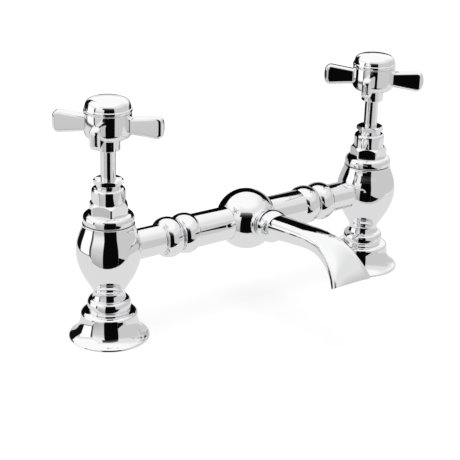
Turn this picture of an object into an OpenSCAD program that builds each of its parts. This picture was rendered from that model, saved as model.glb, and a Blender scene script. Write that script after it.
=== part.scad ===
// Two-hole bridge mixer tap with crosshead handles.
// Two pillars stand on the deck, a bridge tube joins them, and a ball on the
// bridge carries the fixed spout. Each pillar holds a screw-down valve.
// Frame: origin on the deck, midway between the two inlet holes. +X runs to
// the cold pillar, the spout points along -Y, +Z is up. Lengths are in mm.

/* [Pillars] */
// Distance between the two inlet holes
hole_centres = 180; // [160:1:230]
// Height of the turned foot, deck to the neck of the body
foot_h = 22.6; // [22:0.1:24]
// Radius of the foot at the deck
foot_r = 21.5; // [21:0.1:26]
// Radius of the upright wall of the bell above the flare
bell_r = 15; // [14.8:0.1:16]
// Radius of the bead at the top of the foot
bead_r = 11.6; // [11.3:0.1:12.5]
// Height of the body, neck to valve seat face
body_h = 41.9; // [41:0.1:46]
// Radius of the narrow neck of the body
neck_r = 8.35; // [8:0.05:9]
// Largest radius of the egg shaped body
belly_r = 17.2; // [16.8:0.1:19]
// Height of the widest place above the neck end
belly_up = 26.7; // [25:0.1:28]
// Radius of the rim at the top of the body
rim_r = 13.7; // [13.5:0.1:15]
// Height of the bridge axis above the neck end
bridge_up = 25.7; // [25:0.1:27]

/* [Waterways] */
// Radius of the inlet thread in the foot, half inch pipe size
inlet_r = 9.3; // [9:0.1:9.6]
// Depth of the inlet thread
inlet_depth = 13; // [11:0.5:13]
// Radius of the way through the neck to the seat
way_r = 5; // [4:0.1:5.2]
// Radius of the valve chamber in the body
chamber_r = 11; // [10.9:0.1:11.6]
// Height of the seat above the neck end
seat_up = 18.4; // [17.8:0.1:18.8]
// Width of the raised lip of the seat
seat_lip = 1.5; // [1:0.1:2]
// Radius of the thread that joins body and foot
neck_thread_r = 7; // [6.6:0.1:7.2]
// Length of the thread that joins body and foot
neck_thread_len = 8; // [6:0.5:8]

/* [Foot gasket] */
// Outer radius of the rubber ring under the foot
gasket_r = 16; // [14:0.1:16.2]
// Inner radius of the rubber ring
gasket_bore_r = 10.3; // [10.2:0.1:11.5]
// Thickness of the rubber ring
gasket_t = 1.5; // [1:0.1:1.6]

/* [Headwork] */
// Thickness of the fibre washer under the headwork
seal_t = 0.5; // [0.4:0.05:1]
// Radius of the fibre washer under the headwork
seal_r = 12.8; // [12.4:0.1:13.1]
// Radius of the threaded shank in the body
shank_r = 10.4; // [10.2:0.1:10.8]
// Length of the threaded shank in the body
shank_len = 10; // [8:0.5:10]
// Radius of the round flange
flange_r = 13.4; // [13.2:0.1:15]
// Height of the flange with its rounded shoulder
flange_h = 5.2; // [5:0.1:6]
// Width across the flats of the headwork hexagon
hex_af = 18.9; // [18.6:0.1:20]
// Height of the headwork hexagon
hex_h = 5.8; // [5:0.1:7]
// Angle at which the hot headwork came tight
hot_hex_turn = 6; // [0:1:60]
// Angle at which the cold headwork came tight
cold_hex_turn = 50; // [0:1:60]
// Radius of the barrel above the hexagon
barrel_r = 8.7; // [8.4:0.1:9.2]
// Height of the barrel
barrel_h = 7.8; // [7:0.1:9]
// Radius of the rounded top edge of the barrel
barrel_edge = 1.6; // [0.8:0.1:1.8]

/* [Gland] */
// Radius of the stuffing box in the barrel
gland_r = 6; // [5.6:0.1:6.4]
// Radius of the plain neck of the gland nut
gland_neck_r = 6.4; // [6.2:0.1:6.8]
// Height of the plain neck between barrel and hexagon
gland_neck_h = 1.9; // [1.5:0.1:2.5]
// Width across the flats of the gland nut
gland_af = 14; // [13.6:0.1:15]
// Height of the hexagon of the gland nut
gland_hex_h = 2.8; // [2.4:0.1:3.6]
// Length of the threaded spigot that presses the packing
gland_spigot = 3.2; // [2:0.1:3.4]
// Angle at which the hot gland nut came tight
hot_gland_turn = 29; // [0:1:60]
// Angle at which the cold gland nut came tight
cold_gland_turn = 14; // [0:1:60]
// Height of the ring of packing
packing_h = 3.4; // [2:0.1:3.6]

/* [Spindle] */
// Radius of the plain spindle
spindle_r = 3.85; // [3.8:0.05:4.2]
// Radius of the screwed part of the spindle
screw_r = 6.5; // [6.2:0.1:7]
// Length of the screwed part of the spindle
screw_len = 12; // [10:0.5:12]
// Radius of the spindle below the screw
tail_r = 5.2; // [4.8:0.1:5.6]
// Length of spindle that shows between gland nut and handle
spindle_show = 15.5; // [14:0.1:20]
// Side of the square end that drives the handle
square_w = 5.2; // [4.8:0.1:5.2]
// Rise of the valve from shut to fully open
valve_lift = 5; // [3:0.1:5]

/* [Jumper] */
// Radius of the plate that carries the tap washer
jumper_r = 8; // [7.4:0.1:8.4]
// Thickness of the plate
jumper_t = 1.4; // [1:0.1:1.6]
// Radius of the stem that turns in the spindle
stem_r = 3; // [2.6:0.1:3.2]
// Length of the stem
stem_len = 7; // [5:0.1:8]
// Radius of the rubber tap washer
washer_r = 8.5; // [8:0.1:9.5]
// Thickness of the rubber tap washer
washer_t = 3.3; // [3:0.1:3.6]
// Radius of the stud through the washer
stud_r = 1.9; // [1.6:0.1:2.1]
// Width across the flats of the washer nut
washer_nut_af = 6; // [5.4:0.1:6.4]
// Thickness of the washer nut
washer_nut_t = 2.4; // [2:0.1:2.8]

/* [Handle] */
// Radius of the collar under the hub
collar_r = 6.1; // [5.8:0.1:6.8]
// Height of the collar under the hub
collar_h = 6.3; // [5.5:0.1:8]
// Radius of the hub
hub_r = 12.1; // [11.8:0.1:13]
// Height of the hub
hub_h = 13.6; // [13:0.1:15]
// Radius of the rounded lower edge of the hub
hub_round = 4; // [2.5:0.1:4.5]
// Reach of an arm from the axis of the handle
arm_reach = 29; // [27:0.1:34]
// Height of an arm at its end
arm_tip_h = 11; // [10:0.1:12]
// Width of an arm at its end
arm_tip_w = 5.2; // [4.8:0.1:6]
// Height of an arm beside the hub
arm_root_h = 8; // [7:0.1:9]
// Width of an arm beside the hub
arm_root_w = 5; // [4.8:0.1:6]
// Height of the arms above the underside of the hub
arm_up = 7.4; // [7:0.1:7.8]
// Angle of the hot crosshead, turned from the diagonal
hot_arm_turn = 0; // [0:0.5:20]
// Angle of the cold crosshead, turned from the diagonal
cold_arm_turn = 7; // [0:0.5:20]
// Radius of the threaded well for the cap
well_r = 7.6; // [7:0.1:8.4]
// Depth of the well for the cap
well_depth = 8.8; // [8.4:0.1:9]

/* [Cap] */
// Height of the cap above the hub
cap_h = 7; // [6.6:0.1:9]
// Width of the groove between hub and cap
cap_groove = 0.4; // [0.3:0.05:0.8]
// Radius of the lower band of the cap
cap_band_r = 12.3; // [12:0.1:13.2]
// Height of the lower band of the cap
cap_band_h = 1.7; // [1.4:0.1:2.2]
// Radius of the upper side of the cap
cap_side_r = 11.7; // [11.4:0.1:11.9]
// Rise of the slightly domed top of the cap
cap_dome = 0.8; // [0.4:0.1:1.2]
// Radius of the head of the handle screw
screw_head_r = 4.2; // [4:0.1:4.6]
// Height of the head of the handle screw
screw_head_h = 2.5; // [2:0.1:2.8]
// Radius of the thread of the handle screw
screw_thread_r = 1.9; // [1.6:0.1:2]
// Length of the thread of the handle screw
screw_thread_len = 7; // [5:0.5:8]

/* [Bridge] */
// Radius of the tube beside a pillar
tube_r = 8.15; // [8:0.05:8.6]
// Radius of the bore of the bridge
bore_r = 5.5; // [4.5:0.1:5.8]
// Distance of the union joint from the middle of the bridge
union_x = 47.5; // [44:0.5:52]
// Radius of the rings beside the union joint
ring_r = 11.1; // [10.8:0.1:12]
// Length of each ring along the bridge
ring_len = 10.6; // [9.6:0.1:11.4]
// Radius of the tube beside the ball
arm_tube_r = 9.3; // [9.2:0.05:9.8]
// Radius of the spigot that plugs into the pillar tube
spigot_r = 6.8; // [6.6:0.05:6.9]
// Length of the spigot
spigot_len = 10; // [8:0.5:11]
// Thickness of a rubber seal ring
seal_ring_d = 1.4; // [1:0.1:1.5]
// Radius of the locking screw in the pillar side ring
lock_r = 2; // [1.5:0.1:2.2]
// Width across the flats of the key socket in the locking screw
key_af = 2; // [1.5:0.1:2]

/* [Ball and spout] */
// Radius of the ball on the bridge
ball_r = 17; // [16.6:0.1:19]
// Thickness of the wall of the ball
ball_wall = 4.5; // [3.5:0.1:5]
// Tilt of the spout above the horizontal
spout_tilt = 7.2; // [4:0.1:12]
// Radius of the collar where the spout leaves the ball
spout_collar_r = 8.2; // [7.8:0.1:8.8]
// Height of the front of the collar above the ball
spout_collar_out = 0.8; // [0.5:0.1:1.6]
// Radius of the groove between collar and bulb
spout_neck_r = 6.7; // [6.5:0.1:7.2]
// Radius of the bulb at the root of the spout
bulb_r = 9.1; // [8:0.1:9.5]
// Distance of the bulb in front of the ball
bulb_out = 7; // [6.5:0.1:8.5]
// Length of the straight part from the middle of the ball
spout_straight = 55.5; // [50:0.5:75]
// Radius of the slow bend
slow_bend = 64; // [50:1:80]
// Angle of the slow bend
slow_angle = 8.5; // [4:0.5:12]
// Radius of the bend to the tip
tip_bend = 30; // [26:1:36]
// Angle of the bend to the tip
tip_angle = 57; // [45:1:65]
// Width of the spout along its straight part
blade_w = 15.2; // [13.6:0.1:16]
// Thickness of the spout behind the bulb
blade_t = 10; // [8.6:0.1:10.6]
// Width of the tip
tip_w = 25.5; // [22:0.5:30]
// Thickness of the tip
tip_t = 5.6; // [5:0.1:6.4]
// Radius of the rounded edges of the spout
blade_edge = 2.4; // [1:0.1:2.4]
// Wall of the spout
spout_wall = 1.3; // [1:0.1:1.6]
// Radius of the pipe that carries the spout in the ball
spout_pipe_r = 6; // [5.8:0.1:6.2]

/* [Hidden] */
// Radial clearance of a part that turns or slides in another
run_fit = 0.06;
// Clearance between pieces that stay together
set_fit = 0.05;
// Gap between faces of pieces that move together loosely
loose_gap = 0.3;
// Small overlap that makes a cut go right through
cut = 1;
$fn = 96;
// Steps of a curve in a turned outline
steps = 10;

// Heights of the pillar
neck_z = foot_h;
seat_z = neck_z + seat_up;
bridge_z = neck_z + bridge_up;
belly_z = neck_z + belly_up;
rim_z = neck_z + body_h;
flange_z = rim_z + seal_t;
hex_z = flange_z + flange_h;
barrel_z = hex_z + hex_h;
barrel_top = barrel_z + barrel_h;
gland_hex_z = barrel_top + gland_neck_h;
gland_top = gland_hex_z + gland_hex_h;
collar_z = gland_top + spindle_show;
hub_z = collar_z + collar_h;
hub_top = hub_z + hub_h;
cap_z = hub_top + cap_groove;
cap_top = cap_z + cap_h;
arm_z = hub_z + arm_up;
well_z = hub_top - well_depth;

// Heights inside the valve
seat_top = seat_z;
washer_z = seat_top;
plate_z = washer_z + washer_t;
stem_z = plate_z + jumper_t;
tail_z = stem_z + loose_gap;
shank_z = rim_z - shank_len;
screw_z = shank_z + 1.7;
screw_top = screw_z + screw_len;
packing_z = barrel_top - gland_spigot - packing_h;
box_z = packing_z - 0.4;
square_top = well_z - 0.3;

// The foot
foot_edge = 0.3;
rim_top = 1.75;
flare_z = foot_h * 0.157;
wall_z = foot_h * 0.593;
corner_z = foot_h * 0.628;
ledge_z = foot_h * 0.69;
groove_z = foot_h * 0.704;
groove_r = bead_r - 0.7;
bead_z = foot_h * 0.85;
bead_top = foot_h * 0.989;
recess_t = gasket_t;
recess_r = gasket_r + set_fit;
lip_r = gasket_bore_r - set_fit;

// The bridge runs from the ball to the wall of the valve chamber
half_span = hole_centres / 2;
tube_end_x = half_span - chamber_r - 1.2;
joint_gap = 0.5;
ring_steps = 11;
ring_in_x = union_x - ring_len / 2;
ring_out_x = union_x + ring_len / 2;
socket_end_x = union_x + spigot_len + 0.4;
arm_in_x = ball_r - ball_wall - 1.5;

// The spout
spout_collar_s = ball_r + spout_collar_out;
bulb_s = ball_r + bulb_out;
spout_len = spout_straight + arc_len(slow_bend, slow_angle) + arc_len(tip_bend, tip_angle);
blade_s = bulb_s + 9;
bulb_half = 5.2;
sections = 32;
sides = 28;

function arc_len(r, a) = r * a * PI / 180;
function mix(a, b, t) = a + (b - a) * t;
function smooth(t) = let (u = min(max(t, 0), 1)) u * u * (3 - 2 * u);

// Points of a cubic curve from p to s
function curve(p, q, r, s, n = steps) = [
    for (i = [0:n]) let (t = i / n, u = 1 - t)
        u * u * u * p + 3 * u * u * t * q + 3 * u * t * t * r + t * t * t * s
];

// Points of an arc about c from angle a to angle b
function arc(c, r, a, b, n = 6) = [
    for (i = [0:n]) c + r * [cos(mix(a, b, i / n)), sin(mix(a, b, i / n))]
];

// Points of a bead that swells from radius r0 to r1 over a half height h
function bead(z, h, r0, r1, n = steps) = [
    for (i = [0:n]) let (a = mix(-90, 90, i / n)) [mix(r0, r1, cos(a)), z + h * sin(a)]
];

// Outer outline of the foot, from the deck upwards
foot_outline = concat(
    arc([foot_r - foot_edge, foot_edge], foot_edge, -90, 0, 3),
    curve([foot_r, rim_top * 0.25], [foot_r, rim_top * 0.54], [foot_r - 0.5, rim_top * 0.77],
        [foot_r - 1.2, rim_top], 4),
    curve([foot_r - 1.3, rim_top + 0.05], [bell_r + 1.9, flare_z], [bell_r + 0.15, foot_h * 0.363],
        [bell_r + 0.05, wall_z], 12),
    arc([bell_r - 0.9, corner_z], 0.9, 0, 75, 5),
    [[groove_r + 0.05, ledge_z], [groove_r, groove_z]],
    curve([groove_r + 0.05, groove_z + 0.1], [bead_r - 0.1, groove_z + 0.7], [bead_r, bead_z - 1.6],
        [bead_r, bead_z], 5),
    curve([bead_r, bead_z + 0.1], [bead_r, foot_h * 0.929], [bead_r - 0.9, foot_h * 0.987],
        [neck_r + 1, bead_top], 7),
    [[neck_r + 0.6, foot_h]]
);

// Outer outline of the body, from the neck to the rim
waist = belly_up * 0.135;
body_outline = concat(
    curve([neck_r + 0.6, neck_z], [neck_r, neck_z + waist * 0.56], [neck_r, neck_z + waist * 0.83],
        [neck_r, neck_z + waist], 5),
    curve([neck_r, neck_z + waist], [neck_r + 0.2, neck_z + waist * 1.67],
        [belly_r, belly_z - belly_up * 0.431], [belly_r, belly_z], 14),
    curve([belly_r, belly_z], [belly_r, mix(belly_z, rim_z, 0.52)], [rim_r + 0.2, mix(belly_z, rim_z, 0.71)],
        [rim_r, rim_z - 0.5])
);

// A point of the spout's middle line, [forward, up] from the ball's middle
function bend_pt(p, a, r, turn) = p + r * [sin(a) - sin(a - turn), cos(a - turn) - cos(a)];
bend_a = spout_straight * [cos(spout_tilt), sin(spout_tilt)];
bend_b = bend_pt(bend_a, spout_tilt, slow_bend, slow_angle);
function slow_turn(s) = (s - spout_straight) / slow_bend * 180 / PI;
function tip_turn(s) = (s - spout_straight - arc_len(slow_bend, slow_angle)) / tip_bend * 180 / PI;
function spout_pt(s) =
    s <= spout_straight ? s * [cos(spout_tilt), sin(spout_tilt)] :
    slow_turn(s) <= slow_angle ? bend_pt(bend_a, spout_tilt, slow_bend, slow_turn(s)) :
    bend_pt(bend_b, spout_tilt - slow_angle, tip_bend, tip_turn(s));
function spout_dir(s) =
    s <= spout_straight ? spout_tilt :
    slow_turn(s) <= slow_angle ? spout_tilt - slow_turn(s) :
    spout_tilt - slow_angle - tip_turn(s);

// Half sizes of the spout's section at distance s, and the radius of its corners
function root_r(s) = mix(spout_neck_r, bulb_r, sqrt(max(0, 1 - pow((s - bulb_s) / bulb_half, 2))));
function blade_k(s) = smooth((s - bulb_s) / (blade_s - bulb_s));
function flare_k(s) = pow(max(s - bulb_s, 0) / (spout_len - bulb_s), 4);
function half_w(s) = mix(max(root_r(s), spout_neck_r), mix(blade_w, tip_w, flare_k(s)) / 2, blade_k(s));
function half_t(s) = mix(max(root_r(s), spout_neck_r),
    mix(blade_t, tip_t, pow(max(s - bulb_s, 0) / (spout_len - bulb_s), 1.5)) / 2, blade_k(s));
function corner_r(s) = mix(max(root_r(s), spout_neck_r), blade_edge, blade_k(s));

// One ring of points of the spout: distance, half width, half thickness, corner radius
per_corner = sides / 4;
function spout_ring(st) = let (p = spout_pt(st[0]), d = spout_dir(st[0]), r = st[3]) [
    for (c = [0:3], j = [0:per_corner - 1]) let (
        a = 90 * (c + (j + 0.5) / per_corner),
        x = (st[1] - r) * (c == 0 || c == 3 ? 1 : -1) + r * cos(a),
        n = (st[2] - r) * (c < 2 ? 1 : -1) + r * sin(a)
    ) [x, -(p[0] - n * sin(d)), bridge_z + p[1] + n * cos(d)]
];

// The rings of the spout's shape from s0 to s1, shrunk by a wall w, closer together at the bulb
function blade_rings(s0, s1, w) = [
    for (j = [0:sections]) let (s = mix(s0, s1, pow(j / sections, 1.4)))
        [s, half_w(s) - w, half_t(s) - w, max(corner_r(s) - w, 0.4)]
];
function reversed(v) = [for (i = [len(v) - 1:-1:0]) v[i]];
function round_ring(s, r) = [s, r, r, r];

// Places children on a pillar's axis, side -1 for hot and 1 for cold
module on_pillar(side) {
    translate([side * half_span, 0, 0])
    mirror([side > 0 ? 1 : 0, 0, 0])
    children();
}

// Places children on the bridge axis, with z running out to a pillar
module on_bridge(side) {
    translate([0, 0, bridge_z])
    rotate([0, side * 90, 0])
    children();
}

// Places children on the spout's axis, with z running forward
module on_spout() {
    translate([0, 0, bridge_z])
    rotate([90 - spout_tilt, 0, 0])
    children();
}

// A plain washer or ring from z0 to z1
module ring(r_out, r_in, z0, z1) {
    translate([0, 0, z0])
    difference() {
        cylinder(r = r_out, h = z1 - z0);
        translate([0, 0, -cut])
        cylinder(r = r_in, h = z1 - z0 + 2 * cut);
    }
}

// A hexagon with its upper corners turned off, and its lower ones if asked
module nut_blank(af, z0, h, turn, both = false) {
    corner_r = af / sqrt(3);
    face_r = af / 2 - 0.1;
    past_r = corner_r + 0.3;
    drop = (past_r - face_r) * 0.6;
    intersection() {
        translate([0, 0, z0])
        rotate([0, 0, turn])
        cylinder(r = corner_r, h = h, $fn = 6);
        rotate_extrude()
        polygon([
            [0, z0],
            [both ? face_r : past_r, z0],
            [past_r, z0 + drop],
            [past_r, z0 + h - drop],
            [face_r, z0 + h],
            [0, z0 + h]
        ]);
    }
}

module foot() {
    color("silver")
    difference() {
        rotate_extrude()
        polygon(concat([[0, 0]], foot_outline, [[0, foot_h]]));
        translate([0, 0, -cut])
        cylinder(r = inlet_r, h = inlet_depth + cut);
        cylinder(r = way_r, h = foot_h + cut);
        translate([0, 0, foot_h - neck_thread_len - set_fit])
        cylinder(r = neck_thread_r + set_fit, h = neck_thread_len + cut);
        ring(recess_r, lip_r, -cut, recess_t);
    }
}

module foot_gasket() {
    color("dimgray")
    ring(gasket_r, gasket_bore_r, 0, gasket_t);
}

module body() {
    color("silver")
    difference() {
        union() {
            rotate_extrude()
            polygon(concat([[0, neck_z]], body_outline, [[rim_r - 0.5, rim_z], [0, rim_z]]));
            translate([0, 0, neck_z - neck_thread_len])
            cylinder(r = neck_thread_r, h = neck_thread_len + cut);
        }
        translate([0, 0, neck_z - neck_thread_len - cut])
        cylinder(r = way_r, h = body_h + neck_thread_len);
        ring(chamber_r, way_r + seat_lip, seat_z - 1, seat_z + cut);
        translate([0, 0, seat_z])
        cylinder(r = chamber_r, h = shank_z - seat_z);
        translate([0, 0, shank_z - cut])
        cylinder(r = shank_r + set_fit, h = shank_len + 2 * cut);
        translate([0, 0, bridge_z])
        rotate([0, 90, 0])
        translate([0, 0, chamber_r - 1.5])
        cylinder(r = tube_r + set_fit, h = belly_r);
    }
}

module headwork_washer() {
    color("saddlebrown")
    ring(seal_r, shank_r + set_fit, rim_z, flange_z);
}

module headwork(turn) {
    shoulder = 3;
    color("silver")
    difference() {
        union() {
            rotate_extrude()
            polygon(concat(
                [[0, shank_z], [shank_r, shank_z], [shank_r, flange_z], [flange_r - 0.4, flange_z],
                    [flange_r, flange_z + 0.4]],
                arc([flange_r - shoulder, hex_z - shoulder], shoulder, 0, 90),
                [[0, hex_z]]
            ));
            nut_blank(hex_af, hex_z - cut, hex_h + cut, turn);
            rotate_extrude()
            polygon(concat(
                [[0, barrel_z - cut], [barrel_r, barrel_z - cut]],
                arc([barrel_r - barrel_edge, barrel_top - barrel_edge], barrel_edge, 0, 90),
                [[0, barrel_top]]
            ));
        }
        translate([0, 0, shank_z - cut])
        cylinder(r = screw_r + run_fit, h = screw_top + valve_lift + 1.1 - shank_z + cut);
        translate([0, 0, shank_z])
        cylinder(r = spindle_r + run_fit, h = box_z - shank_z + cut);
        translate([0, 0, packing_z])
        cylinder(r = gland_r + set_fit, h = barrel_top - packing_z + cut);
    }
}

module gland_packing() {
    color("ivory")
    ring(gland_r, spindle_r + run_fit, packing_z, packing_z + packing_h);
}

module gland_nut(turn) {
    color("silver")
    difference() {
        union() {
            translate([0, 0, barrel_top - gland_spigot])
            cylinder(r = gland_r, h = gland_spigot + cut);
            translate([0, 0, barrel_top])
            cylinder(r = gland_neck_r, h = gland_neck_h + cut);
            nut_blank(gland_af, gland_hex_z, gland_hex_h, turn, true);
        }
        translate([0, 0, barrel_top - gland_spigot - cut])
        cylinder(r = spindle_r + run_fit, h = gland_top - barrel_top + gland_spigot + 2 * cut);
    }
}

module washer_nut() {
    color("goldenrod")
    difference() {
        translate([0, 0, washer_z - washer_nut_t])
        cylinder(r = washer_nut_af / sqrt(3), h = washer_nut_t, $fn = 6);
        translate([0, 0, washer_z - washer_nut_t - cut])
        cylinder(r = stud_r + set_fit, h = washer_nut_t + 2 * cut);
    }
}

module tap_washer() {
    color("black")
    ring(washer_r, stud_r + set_fit, washer_z, plate_z);
}

module jumper() {
    color("goldenrod")
    union() {
        translate([0, 0, plate_z])
        cylinder(r = jumper_r, h = jumper_t);
        translate([0, 0, stem_z - cut / 2])
        cylinder(r = stem_r, h = stem_len + cut / 2);
        translate([0, 0, washer_z - washer_nut_t - 0.4])
        cylinder(r = stud_r, h = washer_t + washer_nut_t + 0.4 + cut / 2);
    }
}

module spindle() {
    color("silver")
    difference() {
        union() {
            translate([0, 0, tail_z])
            cylinder(r = tail_r, h = screw_z - tail_z + cut);
            translate([0, 0, screw_z])
            cylinder(r = screw_r, h = screw_len);
            translate([0, 0, screw_top - cut])
            cylinder(r = spindle_r, h = collar_z - screw_top + cut);
            translate([-square_w / 2, -square_w / 2, collar_z - cut])
            cube([square_w, square_w, square_top - collar_z + cut]);
        }
        translate([0, 0, tail_z - cut])
        cylinder(r = stem_r + run_fit, h = stem_len + cut);
        translate([0, 0, square_top - screw_thread_len - loose_gap])
        cylinder(r = screw_thread_r + set_fit, h = screw_thread_len + cut + loose_gap);
    }
}

// One arm of the crosshead, along +X, with flat sides and round edges
module arm() {
    root_e = arm_root_w / 2;
    tip_e = arm_tip_w / 2;
    hull()
        for (z = [-1, 1]) {
            translate([hub_r - arm_root_w, 0, z * (arm_root_h / 2 - root_e)])
            sphere(r = root_e, $fn = 24);
            translate([arm_reach - tip_e, 0, z * (arm_tip_h / 2 - tip_e)])
            sphere(r = tip_e, $fn = 24);
        }
}

module handle(turn) {
    color("silver")
    difference() {
        union() {
            rotate_extrude()
            polygon(concat(
                [[0, collar_z], [collar_r - 0.4, collar_z], [collar_r, collar_z + 0.4],
                    [collar_r, hub_z]],
                arc([hub_r - hub_round, hub_z + hub_round], hub_round, -90, 0),
                [[hub_r, hub_top - 0.4], [hub_r - 0.4, hub_top], [0, hub_top]]
            ));
            for (i = [0:3])
                translate([0, 0, arm_z])
                rotate([0, 0, 45 + turn + 90 * i])
                arm();
        }
        translate([0, 0, well_z])
        cylinder(r = well_r, h = well_depth + cut);
        translate([-square_w / 2 - set_fit, -square_w / 2 - set_fit, collar_z - cut])
        cube([square_w + 2 * set_fit, square_w + 2 * set_fit, well_z - collar_z + 2 * cut]);
    }
}

module handle_screw() {
    color("gray")
    difference() {
        union() {
            translate([0, 0, well_z])
            cylinder(r = screw_head_r, h = screw_head_h);
            translate([0, 0, square_top - screw_thread_len])
            cylinder(r = screw_thread_r, h = screw_thread_len + well_z - square_top + cut);
        }
        translate([-screw_head_r - cut, -0.5, well_z + screw_head_h - 1.2])
        cube([2 * (screw_head_r + cut), 1, 1.2 + cut]);
    }
}

module cap() {
    plug_r = well_r - set_fit;
    plug_z = well_z + screw_head_h + 1;
    band_top = cap_z + cap_band_h;
    edge_z = cap_top - cap_dome;
    color("silver")
    rotate_extrude()
    polygon(concat(
        [[0, plug_z], [plug_r, plug_z], [plug_r, hub_top], [hub_r - 1, hub_top], [hub_r - 1, cap_z]],
        arc([cap_band_r - 0.3, cap_z + 0.3], 0.3, -90, 0, 3),
        arc([cap_band_r - 0.3, band_top - 0.3], 0.3, 0, 90, 3),
        [[cap_side_r, band_top + 0.2]],
        curve([cap_side_r, band_top + 0.6], [cap_side_r - 0.3, edge_z - 1.7],
            [cap_side_r - 1.2, edge_z - 0.3], [cap_side_r - 3.4, edge_z + 0.2]),
        curve([cap_side_r - 4.2, edge_z + 0.32], [cap_side_r - 7, cap_top], [2, cap_top], [0, cap_top], 5)
    ));
}

module side_tube(side) {
    color("silver")
    on_bridge(side)
    difference() {
        union() {
            translate([0, 0, union_x + joint_gap / 2])
            cylinder(r = tube_r, h = tube_end_x - union_x - joint_gap / 2);
            rotate_extrude()
            polygon(concat(
                [[0, union_x + joint_gap / 2], [tube_r, union_x + joint_gap / 2]],
                bead(union_x + joint_gap / 2 + ring_len / 2, ring_len / 2, tube_r, ring_r, ring_steps),
                [[0, union_x + joint_gap / 2 + ring_len]]
            ));
        }
        translate([0, 0, union_x - cut])
        cylinder(r = bore_r, h = tube_end_x);
        translate([0, 0, union_x - cut])
        cylinder(r = spigot_r + set_fit, h = socket_end_x - union_x + cut);
        lock_hole(side, lock_r + set_fit);
    }
}

// The threaded hole for the locking screw, at the back of the ring
module lock_hole(side, r) {
    translate([0, 0, union_x + joint_gap / 2 + ring_len / 2])
    rotate([-90, 0, 0])
    translate([0, 0, spigot_r - cut])
    cylinder(r = r, h = ring_r - spigot_r + 2 * cut);
}

module lock_screw(side) {
    color("gray")
    on_bridge(side)
    translate([0, 0, union_x + joint_gap / 2 + ring_len / 2])
    rotate([-90, 0, 0])
    difference() {
        translate([0, 0, spigot_r])
        cylinder(r = lock_r, h = ring_r - spigot_r - 0.6);
        translate([0, 0, ring_r - 2.2])
        cylinder(r = key_af / sqrt(3), h = 3, $fn = 6);
    }
}

// Places of the two seal rings along the spigot
seal_x = [union_x + 2.2, union_x + spigot_len - 1.6];

module bridge_arm(side) {
    color("silver")
    on_bridge(side)
    difference() {
        union() {
            translate([0, 0, arm_in_x])
            cylinder(r = arm_tube_r, h = ring_in_x - arm_in_x);
            rotate_extrude()
            polygon(concat(
                [[0, union_x - ring_len - joint_gap / 2], [arm_tube_r, union_x - ring_len - joint_gap / 2]],
                bead(union_x - joint_gap / 2 - ring_len / 2, ring_len / 2, tube_r, ring_r, ring_steps),
                [[0, union_x - joint_gap / 2]]
            ));
            translate([0, 0, union_x - cut])
            cylinder(r = spigot_r, h = spigot_len + cut);
            translate([0, 0, union_x - joint_gap / 2 - cut / 2])
            cylinder(r = tube_r - 0.4, h = joint_gap + cut / 2);
        }
        translate([0, 0, arm_in_x - cut])
        cylinder(r = bore_r - 0.5, h = union_x + spigot_len - arm_in_x + 2 * cut);
        for (x = seal_x)
            ring(spigot_r + cut, spigot_r - seal_ring_d, x - seal_ring_d / 2 - set_fit,
                x + seal_ring_d / 2 + set_fit);
    }
}

module seal_rings(side) {
    color("black")
    on_bridge(side)
    for (x = seal_x)
        translate([0, 0, x])
        rotate_extrude()
        translate([spigot_r + set_fit - seal_ring_d / 2 - 0.02, 0])
        circle(r = seal_ring_d / 2 - 0.02);
}

module ball() {
    color("silver")
    difference() {
        translate([0, 0, bridge_z])
        sphere(r = ball_r);
        translate([0, 0, bridge_z])
        sphere(r = ball_r - ball_wall);
        translate([-ball_r - cut, 0, bridge_z])
        rotate([0, 90, 0])
        cylinder(r = arm_tube_r + set_fit, h = 2 * (ball_r + cut));
        on_spout()
        cylinder(r = spout_pipe_r + set_fit, h = ball_r + cut);
    }
}

module spout_collar() {
    collar_len = 4;
    color("silver")
    difference() {
        on_spout()
        rotate_extrude()
        polygon(concat(
            [[spout_pipe_r + set_fit, spout_collar_s - collar_len],
                [spout_collar_r, spout_collar_s - collar_len]],
            arc([spout_collar_r - 0.8, spout_collar_s - 0.8], 0.8, 0, 90, 4),
            [[spout_pipe_r + set_fit, spout_collar_s]]
        ));
        translate([0, 0, bridge_z])
        sphere(r = ball_r + set_fit);
    }
}

// Place of the seal on the spout's pipe, inside the wall of the ball
spout_seal_s = ball_r - ball_wall / 2 - 1;
seal_groove = 1.1;

module spout_seal() {
    color("black")
    on_spout()
    translate([0, 0, spout_seal_s])
    rotate_extrude()
    translate([spout_pipe_r + set_fit - 0.52, 0])
    circle(r = 0.48);
}

// The spout is one closed skin: up the outside from its pipe to the tip, and back down the inside
module spout() {
    pipe_back = ball_r - ball_wall - 1;
    pipe_bore = spout_pipe_r - 1.6;
    groove_bottom = spout_pipe_r - 1;
    rings = concat(
        [round_ring(pipe_back, spout_pipe_r),
            round_ring(spout_seal_s - seal_groove / 2, spout_pipe_r),
            round_ring(spout_seal_s - seal_groove / 2, groove_bottom),
            round_ring(spout_seal_s + seal_groove / 2, groove_bottom),
            round_ring(spout_seal_s + seal_groove / 2, spout_pipe_r),
            round_ring(spout_collar_s + set_fit, spout_pipe_r)],
        blade_rings(spout_collar_s + set_fit, spout_len, 0),
        reversed(blade_rings(spout_collar_s + 2, spout_len, spout_wall)),
        [round_ring(spout_collar_s + 2, pipe_bore), round_ring(pipe_back, pipe_bore)]
    );
    count = len(rings);
    color("silver")
    polyhedron(
        points = [for (st = rings) each spout_ring(st)],
        faces = [
            for (j = [0:count - 1], i = [0:sides - 1]) let (k = (j + 1) % count, m = (i + 1) % sides)
                each [[j * sides + i, k * sides + m, j * sides + m],
                      [j * sides + i, k * sides + i, k * sides + m]]
        ]
    );
}

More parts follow.
